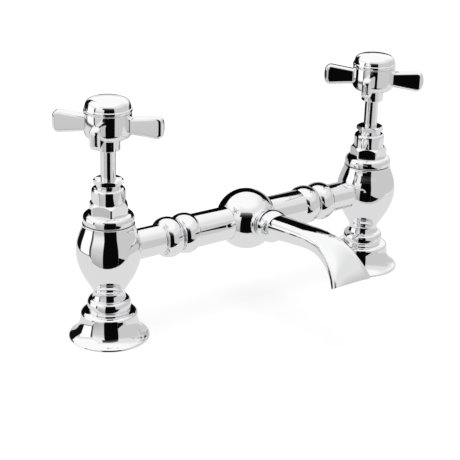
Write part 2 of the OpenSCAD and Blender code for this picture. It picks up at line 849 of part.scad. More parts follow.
module hot_foot() on_pillar(-1) foot();
module hot_foot_gasket() on_pillar(-1) foot_gasket();
module hot_body() on_pillar(-1) body();
module hot_headwork_washer() on_pillar(-1) headwork_washer();
module hot_headwork() on_pillar(-1) headwork(hot_hex_turn);
module hot_gland_packing() on_pillar(-1) gland_packing();
module hot_gland_nut() on_pillar(-1) gland_nut(hot_gland_turn);
module hot_washer_nut() on_pillar(-1) washer_nut();
module hot_tap_washer() on_pillar(-1) tap_washer();
module hot_jumper() on_pillar(-1) jumper();
module hot_spindle() on_pillar(-1) spindle();
module hot_handle() on_pillar(-1) handle(hot_arm_turn);
module hot_handle_screw() on_pillar(-1) handle_screw();
module hot_cap() on_pillar(-1) cap();
module hot_side_tube() side_tube(-1);
module hot_bridge_arm() bridge_arm(-1);
module hot_seal_rings() seal_rings(-1);
module hot_lock_screw() lock_screw(-1);
module cold_foot() on_pillar(1) foot();
module cold_foot_gasket() on_pillar(1) foot_gasket();
module cold_body() on_pillar(1) body();
module cold_headwork_washer() on_pillar(1) headwork_washer();
module cold_headwork() on_pillar(1) headwork(cold_hex_turn);
module cold_gland_packing() on_pillar(1) gland_packing();
module cold_gland_nut() on_pillar(1) gland_nut(cold_gland_turn);
module cold_washer_nut() on_pillar(1) washer_nut();
module cold_tap_washer() on_pillar(1) tap_washer();
module cold_jumper() on_pillar(1) jumper();
module cold_spindle() on_pillar(1) spindle();
module cold_handle() on_pillar(1) handle(cold_arm_turn);
module cold_handle_screw() on_pillar(1) handle_screw();
module cold_cap() on_pillar(1) cap();
module cold_side_tube() side_tube(1);
module cold_bridge_arm() bridge_arm(1);
module cold_seal_rings() seal_rings(1);
module cold_lock_screw() lock_screw(1);

hot_foot();
hot_foot_gasket();
hot_body();
hot_headwork_washer();
hot_headwork();
hot_gland_packing();
hot_gland_nut();
hot_washer_nut();
hot_tap_washer();
hot_jumper();
hot_spindle();
hot_handle();
hot_handle_screw();
hot_cap();
hot_side_tube();
hot_bridge_arm();
hot_seal_rings();
hot_lock_screw();
cold_foot();
cold_foot_gasket();
cold_body();
cold_headwork_washer();
cold_headwork();
cold_gland_packing();
cold_gland_nut();
cold_washer_nut();
cold_tap_washer();
cold_jumper();
cold_spindle();
cold_handle();
cold_handle_screw();
cold_cap();
cold_side_tube();
cold_bridge_arm();
cold_seal_rings();
cold_lock_screw();
ball();
spout_collar();
spout_seal();
spout();
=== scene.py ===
# %% [markdown]
# # A chromed bridge mixer, piece by piece
#
# The frame is the exact model: every solid, where it belongs and how it moves. It was made for
# measuring, and its curves are flat facets. Polished chrome shows each facet, because a mirror
# bends its reflections wherever the surface bends. So the pieces that show are made again here,
# from the same sizes, with much finer meshes. The frame is loaded first, and everything else rides
# on it.

# %% Load the frame
from math import asin, atan2, cos, degrees, hypot, pi, radians, sin, sqrt

import bmesh
import bpy
from mathutils import Matrix, Vector


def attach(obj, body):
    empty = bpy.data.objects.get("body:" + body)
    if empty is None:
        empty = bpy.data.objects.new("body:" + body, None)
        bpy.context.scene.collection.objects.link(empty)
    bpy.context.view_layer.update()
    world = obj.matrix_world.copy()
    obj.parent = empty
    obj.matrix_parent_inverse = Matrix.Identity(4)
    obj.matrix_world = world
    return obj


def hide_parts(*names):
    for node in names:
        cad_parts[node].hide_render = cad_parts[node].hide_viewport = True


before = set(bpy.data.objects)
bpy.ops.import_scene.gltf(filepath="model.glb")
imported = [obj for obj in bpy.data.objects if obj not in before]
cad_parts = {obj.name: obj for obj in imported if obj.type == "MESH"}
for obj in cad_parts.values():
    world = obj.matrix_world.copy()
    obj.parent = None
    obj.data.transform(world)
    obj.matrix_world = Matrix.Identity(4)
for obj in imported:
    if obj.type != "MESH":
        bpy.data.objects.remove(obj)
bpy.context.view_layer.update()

MM = 0.001

# %% [markdown]
# ## The camera
#
# The photograph was taken from the front, left of the spout and above it, with a long lens. The
# place below was found by laying the outlines of the frame over the photograph. A camera looks
# along its own -Z, so its matrix is filled with the directions of right, up and back. The small
# roll keeps the pillars as the photograph leans them.

# %% Place the camera
def linked(thing):
    """Puts an object into the scene and gives it back."""
    bpy.context.scene.collection.objects.link(thing)
    return thing


def camera_axes(yaw, pitch, roll):
    look = Vector((sin(yaw) * cos(pitch), cos(yaw) * cos(pitch), -sin(pitch)))
    right = look.cross(Vector((0, 0, 1))).normalized()
    up = right.cross(look)
    return cos(roll) * right + sin(roll) * up, cos(roll) * up - sin(roll) * right, -look


lens_px, picture_px, sensor_mm = 1274.0, 460, 36.0
camera_at = Vector((-410.1, -527.5, 304.35)) * MM
camera_yaw, camera_pitch, camera_roll = radians(37.10), radians(21.53), radians(1.75)
axes = camera_axes(camera_yaw, camera_pitch, camera_roll)
camera = linked(bpy.data.objects.new("camera", bpy.data.cameras.new("camera")))
camera.data.sensor_width = sensor_mm
camera.data.lens = lens_px * sensor_mm / picture_px
rows = [[axes[0][i], axes[1][i], axes[2][i], camera_at[i]] for i in range(3)]
camera.matrix_world = Matrix(rows + [[0, 0, 0, 1]])
bpy.context.scene.camera = camera
print("lens in mm:", round(camera.data.lens, 2),
      "looking along", tuple(round(v, 3) for v in -axes[2]))

# %% [markdown]
# ## Writing nodes as sums
#
# Materials, the studio and the spout are all made of nodes. A node for each plus sign is hard to
# read, so one small class wraps a socket and lets Python's own signs add the Math nodes. Every
# other node comes from one method, which takes its type, its settings, and what its sockets hold or
# are linked to.

# %% Wires and benches
class Wire:
    """A node's output socket that works in sums."""

    def __init__(self, bench, socket):
        self.bench = bench
        self.socket = socket

    def sum(self, operation, *values):
        return self.bench.node("ShaderNodeMath", {"operation": operation}, dict(enumerate(values)))

    def of(self, name):
        return Wire(self.bench, self.socket.node.outputs[name])

    def __add__(self, other):
        return self.sum("ADD", self, other)

    __radd__ = __add__

    def __mul__(self, other):
        return self.sum("MULTIPLY", self, other)

    __rmul__ = __mul__

    def __sub__(self, other):
        return self.sum("SUBTRACT", self, other)

    def __rsub__(self, other):
        return self.sum("SUBTRACT", other, self)

    def __truediv__(self, other):
        return self.sum("DIVIDE", self, other)

    def __rtruediv__(self, other):
        return self.sum("DIVIDE", other, self)

    def __pow__(self, other):
        return self.sum("POWER", self, other)

    def sin(self):
        return self.sum("SINE", self)

    def cos(self):
        return self.sum("COSINE", self)

    def low(self, other):
        return self.sum("MINIMUM", self, other)

    def high(self, other):
        return self.sum("MAXIMUM", self, other)

    def size(self):
        return self.sum("ABSOLUTE", self)

    def sign(self):
        return self.sum("SIGN", self)

    def clip(self, lowest=0.0, highest=1.0):
        return self.high(lowest).low(highest)

    def ramp(self, start, end):
        """0 before start, 1 after end, and straight between them."""
        return ((self - start) / (end - start)).clip()

    def soft(self):
        """A ramp's corners rounded off."""
        return self * self * (3 - 2 * self)


class Bench:
    """A node tree that nodes are added to."""

    def __init__(self, tree):
        self.tree = tree

    def node(self, kind, settings=None, sockets=None, out=0):
        made = self.tree.nodes.new(kind)
        for name, value in (settings or {}).items():
            setattr(made, name, value)
        for name, value in (sockets or {}).items():
            if isinstance(value, Wire):
                self.tree.links.new(value.socket, made.inputs[name])
            else:
                made.inputs[name].default_value = value
        return Wire(self, made.outputs[out]) if len(made.outputs) else made


def blend(start, end, share):
    return start + (end - start) * share


print("wires and benches are ready")

# %% [markdown]
# ## Chrome
#
# Chrome plate is a mirror: a metal with almost no roughness, whose look is what stands around it.
# What tells real plate from a perfect mirror is slight. The brass below was polished by hand on a
# soft wheel, which leaves broad shallow waves, and cloths leave a haze of hairlines that shows only
# where the roughness changes. The waves bend the reflections through a bump node, and the haze goes
# into the roughness.

# %% Make the chrome
def principled(name):
    material = bpy.data.materials.new(name)
    material.use_nodes = True
    bench = Bench(material.node_tree)
    shader = next(n for n in material.node_tree.nodes if n.type == "BSDF_PRINCIPLED")
    return material, bench, shader


def noise(bench, scale, detail=2.0, stretch=(1, 1, 1), roughness=0.5):
    place = bench.node("ShaderNodeTexCoord", out="Object")
    stretched = bench.node("ShaderNodeMapping", {}, {"Vector": place, "Scale": stretch})
    return bench.node("ShaderNodeTexNoise", {}, {
        "Vector": stretched, "Scale": scale, "Detail": detail, "Roughness": roughness})


def bump(bench, shader, height, strength, distance):
    made = bench.node("ShaderNodeBump", {}, {
        "Height": height, "Strength": strength, "Distance": distance})
    bench.tree.links.new(made.socket, shader.inputs["Normal"])


def chrome(name, shade, haze, waves):
    smoothest, wave_height = 0.012, 0.0004
    material, bench, shader = principled(name)
    shader.inputs["Base Color"].default_value = (*shade, 1)
    shader.inputs["Metallic"].default_value = 1.0
    hairlines = noise(bench, 900, 4.0, (1, 1, 0.12), 0.7)
    clouds = noise(bench, 70, 3.0)
    rough = smoothest + haze * hairlines.ramp(0.35, 0.75) * clouds.ramp(0.3, 0.7)
    bench.tree.links.new(rough.socket, shader.inputs["Roughness"])
    bump(bench, shader, noise(bench, 55, 1.0), waves, wave_height)
    return material


plate = chrome("chrome", (0.90, 0.90, 0.91), 0.03, 0.05)
cap_plate = chrome("chrome_cap", (0.92, 0.92, 0.93), 0.03, 0.03)
print("chrome slots:", plate.name, cap_plate.name)

# %% [markdown]
# ## The outlines of turned pieces
#
# Most of the tap was made on a lathe, so a piece is one outline and an axis. An outline is a list
# of points (radius, height) in millimetres. Three helpers draw the curved stretches: a cubic curve
# for the long sweeps, an arc for rounded edges, and a bead for the swelling rings that are so
# common on traditional taps.

# %% Draw outlines
def sweep(p, q, r, s, steps):
    """A cubic curve from p to s, which leaves towards q and arrives from r."""
    points = []
    for i in range(steps + 1):
        t = i / steps
        u = 1 - t
        weights = u**3, 3 * u * u * t, 3 * u * t * t, t**3
        points.append(tuple(sum(weight * point[k] for weight, point in zip(weights, (p, q, r, s)))
                            for k in (0, 1)))
    return points


def arc(middle, radius, start, end, steps):
    """Part of a circle, from one angle in degrees to another."""
    angles = [radians(start + (end - start) * i / steps) for i in range(steps + 1)]
    return [(middle[0] + radius * cos(a), middle[1] + radius * sin(a)) for a in angles]


def bead(middle, half, low, high, steps=30):
    """A swelling of radius low to high, half long on either side of its middle."""
    angles = [radians(-90 + 180 * i / steps) for i in range(steps + 1)]
    return [(low + (high - low) * cos(a), middle + half * sin(a)) for a in angles]


def without_doubles(outline, gap=0.004):
    kept = [outline[0]]
    for point in outline[1:]:
        if hypot(point[0] - kept[-1][0], point[1] - kept[-1][1]) > gap:
            kept.append(point)
    return kept


print("a bead of height 4:", [tuple(round(v, 2) for v in p) for p in bead(0, 2, 8, 10, 4)])

# %% [markdown]
# ## Turning an outline
#
# The outline is a closed loop, so the piece is as hollow as the real casting and has no open edge.
# Each point becomes a ring of vertices, and neighbouring rings are joined by quads. A point on the
# axis becomes a single vertex. `place` carries the lathe's axis to the pillar, the bridge or the
# spout. Sharp corners keep their edge because edges steeper than a set angle are marked sharp when
# the mesh is shaded smooth.

# %% Turn an outline on its axis
def shaded(mesh, crease):
    for polygon in mesh.polygons:
        polygon.use_smooth = True
    mesh.set_sharp_from_angle(angle=radians(crease))
    return mesh


def turned_into(work, outline, place, turns=144):
    angles = [2 * pi * i / turns for i in range(turns)]
    rings = []
    for radius, height in without_doubles(outline):
        if radius < 1e-6:
            rings.append([work.verts.new(place @ Vector((0, 0, height)))])
        else:
            rings.append([work.verts.new(place @ Vector((radius * cos(a), radius * sin(a), height)))
                          for a in angles])
    closed = len(rings[0]) > 1 and len(rings[-1]) > 1
    pairs = list(zip(rings, rings[1:])) + ([(rings[-1], rings[0])] if closed else [])
    for lower, upper in pairs:
        for i in range(turns):
            corners = [lower[i % len(lower)], lower[(i + 1) % len(lower)],
                       upper[(i + 1) % len(upper)], upper[i % len(upper)]]
            work.faces.new(list(dict.fromkeys(corners)))


def into_object(work, name, material, crease=30):
    bmesh.ops.recalc_face_normals(work, faces=work.faces)
    mesh = bpy.data.meshes.new(name)
    work.to_mesh(mesh)
    work.free()
    mesh.transform(Matrix.Scale(MM, 4))
    mesh.materials.append(material)
    return linked(bpy.data.objects.new(name, shaded(mesh, crease)))


def finished(piece, body, slot, *nodes):
    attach(piece, body)
    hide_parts(*nodes)
    print(f"{piece.name}: {len(piece.data.polygons)} faces on {body}")


def turned(name, outline, place, body, node, slot="chrome", material=plate, crease=30):
    work = bmesh.new()
    turned_into(work, outline, place)
    finished(into_object(work, name, material, crease), body, slot, node)


pillars = {"hot": -1, "cold": 1}
half_span = 90.0
on_pillar = {side: Matrix.Translation((sign * half_span, 0, 0)) for side, sign in pillars.items()}
print("pillars at x =", [round(m.translation.x, 1) for m in on_pillar.values()])

# %% [markdown]
# ## The feet
#
# A foot spreads the load on the deck and hides the hole. From the deck up it is a thin rim, a flare
# that sweeps up in one curve into an upright wall, a rounded shoulder, a groove, a tall barrel
# shaped bead and the neck of the body. Underneath are the groove for the rubber ring and the bore
# for the inlet thread, whose crests are turned here as a row of small ridges.

# %% Turn the feet
foot_h, foot_r, bell_r, bead_r, neck_r = 22.6, 21.5, 15.0, 11.6, 8.35
foot_edge, rim_top, groove_r = 0.3, 1.75, bead_r - 0.7
flare_z, wall_z, ledge_z, groove_z, bead_z, bead_top = (
    foot_h * share for share in (0.157, 0.593, 0.69, 0.704, 0.85, 0.989))
foot_outside = (
    arc((foot_r - foot_edge, foot_edge), foot_edge, -90, 0, 5)
    + sweep((foot_r, rim_top * 0.25), (foot_r, rim_top * 0.54),
            (foot_r - 0.5, rim_top * 0.77), (foot_r - 1.2, rim_top), 10)
    + sweep((foot_r - 1.3, rim_top + 0.05), (bell_r + 1.9, flare_z),
            (bell_r + 0.15, foot_h * 0.363), (bell_r + 0.05, wall_z), 48)
    + sweep((bell_r + 0.05, wall_z), (bell_r + 0.05, wall_z + 1.1),
            (bell_r - 1.4, ledge_z - 0.15), (groove_r + 0.3, ledge_z), 20)
    + [(groove_r, groove_z)]
    + sweep((groove_r + 0.05, groove_z + 0.1), (bead_r - 0.1, groove_z + 0.7),
            (bead_r, bead_z - 1.6), (bead_r, bead_z), 16)
    + sweep((bead_r, bead_z), (bead_r, foot_h * 0.929),
            (bead_r - 0.9, foot_h * 0.987), (neck_r + 1, bead_top), 22)
    + [(neck_r + 0.6, foot_h)]
)
inlet_r, inlet_depth, pitch, crest, first_crest = 9.3, 13.0, 1.814, 0.85, 2.2
thread = [(inlet_r + (0.0 if k % 2 else crest), first_crest + pitch / 2 * k) for k in range(12)]
fit, way_r, stub_r, stub_len = 0.05, 5.0, 7.0, 8.0
gasket_bore_r, gasket_r, gasket_t = 10.3, 16.0, 1.5
foot_inside = (
    [(stub_r + fit, foot_h), (stub_r + fit, foot_h - stub_len - fit),
     (way_r, foot_h - stub_len - fit), (way_r, inlet_depth), (inlet_r, inlet_depth)]
    + thread[::-1]
    + [(inlet_r, first_crest - 0.6), (inlet_r, foot_edge), (inlet_r + foot_edge, 0),
       (gasket_bore_r - fit, 0), (gasket_bore_r - fit, gasket_t),
       (gasket_r + fit, gasket_t), (gasket_r + fit, 0)]
)
for side in pillars:
    turned(f"{side}_turned_foot", foot_outside + foot_inside, on_pillar[side], "base",
           f"{side}_foot")

# %% [markdown]
# ## The bodies
#
# The egg of the body is the valve's chamber. Its outline runs from the narrow neck over the belly
# to the rim, with no straight stretch, and the mirror shows any kink in it. So each stretch ends in
# the direction in which the next one starts.

# %% Turn the bodies
neck_z, body_h, belly_r, belly_up, rim_r, rim_edge = foot_h, 41.9, 17.2, 26.7, 13.7, 0.4
belly_z, rim_z = neck_z + belly_up, neck_z + body_h
waist, above = belly_up * 0.135, rim_z - belly_z
body_outside = (
    sweep((neck_r + 0.6, neck_z), (neck_r, neck_z + waist * 0.56),
          (neck_r, neck_z + waist * 0.83), (neck_r, neck_z + waist), 10)
    + sweep((neck_r, neck_z + waist), (neck_r + 0.2, neck_z + waist * 1.67),
            (belly_r, belly_z - belly_up * 0.431), (belly_r, belly_z), 48)
    + sweep((belly_r, belly_z), (belly_r, belly_z + above * 0.52),
            (rim_r + 0.2, belly_z + above * 0.71), (rim_r, rim_z - 0.5), 36)
    + arc((rim_r - rim_edge, rim_z - rim_edge), rim_edge, 0, 90, 5)
)
seat_z, seat_r, seat_lip, shank_z, shank_r, chamber_r = neck_z + 18.4, 6.5, 1, rim_z - 10, 10.4, 11
body_inside = [
    (shank_r + fit, rim_z), (shank_r + fit, shank_z), (chamber_r, shank_z),
    (chamber_r, seat_z - seat_lip), (seat_r, seat_z - seat_lip), (seat_r, seat_z),
    (way_r, seat_z), (way_r, neck_z - stub_len), (stub_r, neck_z - stub_len), (stub_r, neck_z)]
for side in pillars:
    turned(f"{side}_egg_body", body_outside + body_inside, on_pillar[side], "base", f"{side}_body")

# %% [markdown]
# ## Nuts
#
# A nut starts as a hexagon bar in the lathe. A slanting tool cuts its corners, and the cut leaves
# the curved edges that every nut has. Here the outline of the bar is followed round, and each of
# its points finds by itself how low the slanting cut comes there. A file has broken the six upright
# corners, so each is a narrow flat that mirrors a thin line of the room, and a fine bevel on the
# edges catches the light as a real edge does.

# %% Cut a nut from the bar
def between(start, end, steps):
    """The points on the way from start to end, without either of them."""
    return [tuple(p + (q - p) * i / steps for p, q in zip(start, end)) for i in range(1, steps)]


def bar_outline(across, corner=0.85, on_flat=16):
    """Points (x, y) round a hexagon whose corners are broken by a narrow flat, corner wide."""
    far = across / sqrt(3) - corner / cos(radians(30))
    ends = []
    for k in range(6):
        middle = radians(60 * k)
        for a in (middle - radians(30), middle + radians(30)):
            ends.append((far * cos(middle) + corner * cos(a), far * sin(middle) + corner * sin(a)))
    points = []
    for k in range(0, 12, 2):
        points += ends[k:k + 2] + between(ends[k + 1], ends[(k + 2) % 12], on_flat)
    return points


def nut_into(work, across, bottom, top, bore, turn, place, both=False, slope=0.6):
    """Adds a nut whose top is cut slanting, and its lower edge too where both is true."""
    face_r = across / 2 - 0.1
    columns = []
    for x, y in bar_outline(across):
        r, a = hypot(x, y), atan2(y, x) + radians(turn)
        drop = (r - face_r) * slope
        foot = [(face_r, bottom), (r, bottom + drop)] if both else [(r, bottom)]
        column = [(bore, bottom)] + foot + [(r, top - drop), (face_r, top), (bore, top)]
        columns.append([work.verts.new(place @ Vector((q * cos(a), q * sin(a), z)))
                        for q, z in column])
    for one, other in zip(columns, columns[1:] + columns[:1]):
        for i in range(len(one)):
            k = (i + 1) % len(one)
            work.faces.new((one[i], other[i], other[k], one[k]))


def applied(piece, modifier):
    """Leaves what the modifier makes of the piece as its plain mesh."""
    bpy.context.view_layer.update()
    graph = bpy.context.evaluated_depsgraph_get()
    made = bpy.data.meshes.new_from_object(piece.evaluated_get(graph))
    piece.modifiers.remove(modifier)
    old, piece.data = piece.data, made
    bpy.data.meshes.remove(old)
    return piece


def edged(piece, width, angle=28, segments=3):
    """Gives the piece narrow rounded edges."""
    cut = piece.modifiers.new("edges", "BEVEL")
    cut.width = width * MM
    cut.segments = segments
    cut.limit_method = "ANGLE"
    cut.angle_limit = radians(angle)
    cut.use_clamp_overlap = True
    cut.harden_normals = True
    return applied(piece, cut)


def joined(piece, other):
    """Makes the other object a part of the piece."""
    both = [piece, other]
    with bpy.context.temp_override(active_object=piece, object=piece, selected_objects=both,
                                   selected_editable_objects=both):
        bpy.ops.object.join()
    return piece


def turned_with_nut(side, name, outline, nut_name, bevel, node, *nut, **cuts):
    """A turned piece with a nut on it."""
    work = bmesh.new()
    nut_into(work, *nut, on_pillar[side], **cuts)
    hexagon = edged(into_object(work, f"{side}_{nut_name}", plate, 28), bevel)
    work = bmesh.new()
    turned_into(work, outline, on_pillar[side])
    piece = joined(into_object(work, f"{side}_{name}", plate), hexagon)
    finished(piece, "base", "chrome", f"{side}_{node}")


print("points round a nut:", len(bar_outline(18.9)))

# %% [markdown]
# ## The headworks
#
# A headwork screws into the rim of the body and closes the chamber. Its flange with the soft
# shoulder is turned, the hexagon is for the spanner, and the barrel above holds the packing. Each
# one stops turning where its washer is tight, so the two hexagons stand at different angles.

# %% Make the headworks
flange_z = rim_z + 0.5
hex_z = flange_z + 5.2
barrel_z = hex_z + 5.8
barrel_top = barrel_z + 7.8
flange_r, flange_edge, shoulder, barrel_r, barrel_edge = 13.4, 0.4, 3.0, 8.7, 1.6
packing_r, packing_depth, screw_hole_r, screw_hole_top = 6.05, 6.6, 6.56, 74.3
hex_af, spindle_r, spindle_fit = 18.9, 3.85, 0.06
hole_r = spindle_r + spindle_fit
headwork_outline = (
    [(shank_r, shank_z), (shank_r, flange_z), (flange_r - flange_edge, flange_z)]
    + arc((flange_r - flange_edge, flange_z + flange_edge), flange_edge, -90, 0, 5)
    + arc((flange_r - shoulder, hex_z - shoulder), shoulder, 0, 90, 16)
    + [(barrel_r, hex_z), (barrel_r, barrel_z)]
    + arc((barrel_r - barrel_edge, barrel_top - barrel_edge), barrel_edge, 0, 90, 14)
    + [(packing_r, barrel_top), (packing_r, barrel_top - packing_depth),
       (hole_r, barrel_top - packing_depth), (hole_r, screw_hole_top),
       (screw_hole_r, screw_hole_top), (screw_hole_r, shank_z)]
)
for side, turn in (("hot", 6), ("cold", 13)):
    turned_with_nut(side, "bonnet", headwork_outline, "hexagon", 0.14, "headwork",
                    hex_af, hex_z - 1, barrel_z, 8.0, turn, slope=1.15)

# %% [markdown]
# ## The gland nuts
#
# The gland nut presses the packing on the spindle, so that no water creeps up along it. It is a
# thin hexagon, cut slanting above and below, on a round neck that goes down into the barrel.

# %% Make the gland nuts
gland_hex_z = barrel_top + 1.9
gland_top = gland_hex_z + 2.8
gland_af, gland_r, gland_neck_r, gland_depth, overlap = 14.0, 6.0, 6.4, 3.2, 0.4
gland_outline = [
    (hole_r, barrel_top - gland_depth), (gland_r, barrel_top - gland_depth), (gland_r, barrel_top),
    (gland_neck_r, barrel_top), (gland_neck_r, gland_hex_z + overlap),
    (hole_r, gland_hex_z + overlap)]
for side, turn in (("hot", 29), ("cold", 14)):
    turned_with_nut(side, "gland", gland_outline, "gland_hexagon", 0.12, "gland_nut",
                    gland_af, gland_hex_z, gland_top, hole_r, turn, both=True)

# %% [markdown]
# ## The spindles
#
# A spindle turns with its handle and rises by its screw. Only the plain stretch between gland nut
# and handle ever shows, but the piece is turned whole, with its screw as ridges, because it moves
# in and out of its nut.

# %% Turn the spindles
collar_z = gland_top + 15.5
screw_z, screw_len, screw_r, root_r, half_lead = shank_z + 1.7, 12, 6.5, 5.9, 0.625
tail_z, tail_r, stem_hole_r, stem_hole = seat_z + 5.0, 5.2, 3.06, 7
end_r, end_len, tapped_r, tapped_z, core_r = 2.6, 10.8, 1.95, collar_z + 3.5, 0.6
screw_ridges = [(screw_r if k % 2 else root_r, screw_z + 0.4 + half_lead * k) for k in range(18)]
spindle_outline = (
    [(stem_hole_r, tail_z), (tail_r, tail_z), (tail_r, screw_z)] + screw_ridges
    + [(screw_r, screw_z + screw_len), (spindle_r, screw_z + screw_len), (spindle_r, collar_z),
       (end_r, collar_z), (end_r, collar_z + end_len), (tapped_r, collar_z + end_len),
       (tapped_r, tapped_z), (core_r, tapped_z), (core_r, tail_z + stem_hole),
       (stem_hole_r, tail_z + stem_hole)]
)
for side in pillars:
    turned(f"{side}_screwed_spindle", spindle_outline, on_pillar[side], f"{side}_handle",
           f"{side}_spindle")

# %% [markdown]
# ## The arms of the crosshead
#
# All four arms are alike: a flat bar with rounded edges, which grows in height from the hub to its
# end. A forging like this is polished on its flat sides first and on its edges last, so the sides
# stay plane and mirror a panel as one even patch. One arm is built as a row of rounded rectangles.
# Towards the end each ring is set in a bit more than the last, so that the end is as round as the
# edges. Geometry Nodes set the arm four times round the axis.

# %% Build one arm
hub_z = collar_z + 6.3
hub_top = hub_z + 13.6
hub_r, arm_reach, arm_z = 12.1, 29.0, hub_z + 7.1
root_w, root_h, end_w, end_h = 5.0, 8.0, 5.2, 11.7
grow_from, grow_to = hub_r - 3, arm_reach - 3.4


def rounded(half_w, half_h, corner, on_corner=10, on_side=6):
    """Points round a rectangle with rounded corners."""
    corners = [arc((way_w * (half_w - corner), way_h * (half_h - corner)), corner,
                   90 * k, 90 * k + 90, on_corner)
               for k, (way_w, way_h) in enumerate(((1, 1), (-1, 1), (-1, -1), (1, -1)))]
    points = []
    for one, following in zip(corners, corners[1:] + corners[:1]):
        points += one + between(one[-1], following[0], on_side)
    return points


def arm_size(x):
    """Half width and half height of an arm at distance x from the axis."""
    grown = max(0, min(1, (x - grow_from) / (grow_to - grow_from)))
    return (root_w + (end_w - root_w) * grown) / 2, (root_h + (end_h - root_h) * grown) / 2


# Twelve even rings, then nineteen that draw in to the nose, then five that close it with a low dome
nose, end_round, end_dome, roundness = 3.7, 2.2, 0.3, 0.7
arm_start, end_x = hub_r - 5, arm_reach - end_dome
rings = []
for k in range(12):
    x = arm_start + (end_x - nose - arm_start) * k / 12
    half_w, half_h = arm_size(x)
    rings.append((x, half_w, half_h, half_w * roundness))
for k in range(19):
    q = pi / 2 * k / 18
    x = end_x - nose * (1 - sin(q))
    half_w, half_h = arm_size(x)
    into_end = max(0, x - end_x + end_round)
    half_w = half_w - end_round + sqrt(end_round**2 - into_end**2)
    half_h = half_h - nose * (1 - cos(q))
    rings.append((x, half_w, half_h, min(half_w, half_h) * roundness))
for k in range(1, 6):
    q = pi / 2 * k / 5.4
    rings.append((arm_reach - end_dome * (1 - sin(q)), half_w * cos(q), half_h * cos(q),
                  half_w * cos(q) * 0.9))
work = bmesh.new()
rings = [[work.verts.new((x, y, z)) for y, z in rounded(half_w, half_h, corner)]
         for x, half_w, half_h, corner in rings]
for one, other in zip(rings, rings[1:]):
    for i in range(len(one)):
        k = (i + 1) % len(one)
        work.faces.new((one[i], one[k], other[k], other[i]))
work.faces.new(rings[0][::-1])
work.faces.new(rings[-1])
arm = into_object(work, "one_arm", plate, 60)
print("one arm:", len(arm.data.polygons), "faces, reach", arm_reach)

# %% Set four arms round the axis
def new_tree(name, wanted):
    """A node tree with a geometry output and named inputs, and the identifiers of those."""
    tree = bpy.data.node_groups.new(name, "GeometryNodeTree")
    tree.interface.new_socket("Geometry", in_out="OUTPUT", socket_type="NodeSocketGeometry")
    return tree, {label: tree.interface.new_socket(label, in_out="INPUT",
                                                   socket_type=f"NodeSocket{kind}").identifier
                  for label, kind in wanted.items()}


def closed_tree(bench, geometry, finish):
    """The end of a tree: real geometry with its finish."""
    real = bench.node("GeometryNodeRealizeInstances", {}, {"Geometry": geometry})
    coated = bench.node("GeometryNodeSetMaterial", {}, {"Geometry": real, "Material": finish})
    bench.node("NodeGroupOutput", {}, {"Geometry": coated})


arms_tree, arm_inputs = new_tree("arms round a hub", {
    "Arm": "Object", "Count": "Int", "First angle": "Float", "Pillar": "Float", "Height": "Float",
    "Finish": "Material"})
bench = Bench(arms_tree)
given = bench.node("NodeGroupInput")
axis = bench.node("ShaderNodeCombineXYZ", {}, {"X": given.of("Pillar"), "Z": given.of("Height")})
points = bench.node("GeometryNodePoints", {}, {"Count": given.of("Count"), "Position": axis})
step = 2 * pi / given.of("Count")
angle = given.of("First angle") + step * bench.node("GeometryNodeInputIndex")
turning = bench.node("FunctionNodeEulerToRotation", {}, {
    "Euler": bench.node("ShaderNodeCombineXYZ", {}, {"Z": angle})})
one_arm = bench.node("GeometryNodeObjectInfo", {}, {"Object": given.of("Arm")}).of("Geometry")
copies = bench.node("GeometryNodeInstanceOnPoints", {}, {
    "Points": points, "Instance": one_arm, "Rotation": turning})
closed_tree(bench, copies, given.of("Finish"))


def made_by(tree, inputs, name):
    """A new piece whose plain mesh is what the tree makes of its inputs."""
    piece = linked(bpy.data.objects.new(name, bpy.data.meshes.new(name)))
    rule = piece.modifiers.new("rule", "NODES")
    rule.node_group = tree
    for identifier, value in inputs.items():
        rule[identifier] = value
    return applied(piece, rule)


crosses = {}
first_angle = {"hot": radians(45), "cold": radians(45 - 6)}
for side, sign in pillars.items():
    values = {"Arm": arm, "Count": 4, "First angle": first_angle[side],
              "Pillar": sign * half_span * MM, "Height": arm_z * MM, "Finish": plate}
    crosses[side] = made_by(arms_tree, {arm_inputs[label]: v for label, v in values.items()},
                            f"{side}_arms")
    shaded(crosses[side].data, 60)
bpy.data.objects.remove(arm)
print("faces in the arms:", {side: len(piece.data.polygons) for side, piece in crosses.items()})

# %% [markdown]
# ## The hubs
#
# The hub is turned with its collar below, a rounded lower edge and the threaded well in its top,
# which the cap closes. The arms run into it, and where they meet, the polished faces keep a crisp
# line.

# %% Turn the hubs and join the arms to them
collar_r, hub_round, well_r, well_z, spindle_hole_r = 6.1, 4.0, 7.6, hub_top - 8.8, 3.7
hub_outline = (
    [(spindle_hole_r, collar_z)] + arc((collar_r - 0.4, collar_z + 0.4), 0.4, -90, 0, 5)
    + arc((collar_r + 0.5, hub_z - 0.5), 0.5, 180, 90, 5)
    + arc((hub_r - hub_round, hub_z + hub_round), hub_round, -90, 0, 20)
    + arc((hub_r - 0.3, hub_top - 0.3), 0.3, 0, 90, 5)
    + [(well_r, hub_top), (well_r, well_z), (spindle_hole_r, well_z)]
)
for side in pillars:
    work = bmesh.new()
    turned_into(work, hub_outline, on_pillar[side])
    piece = joined(into_object(work, f"{side}_crosshead", plate), crosses[side])
    finished(piece, f"{side}_handle", "chrome", f"{side}_handle")

# %% [markdown]
# ## The caps
#
# A cap screws into the hub and hides the handle's screw. It has a narrow band at its foot, a
# slightly smaller side, a soft edge and a top that is almost flat. The low dome of the top gathers
# the light of the whole ceiling, so it looks plain white.

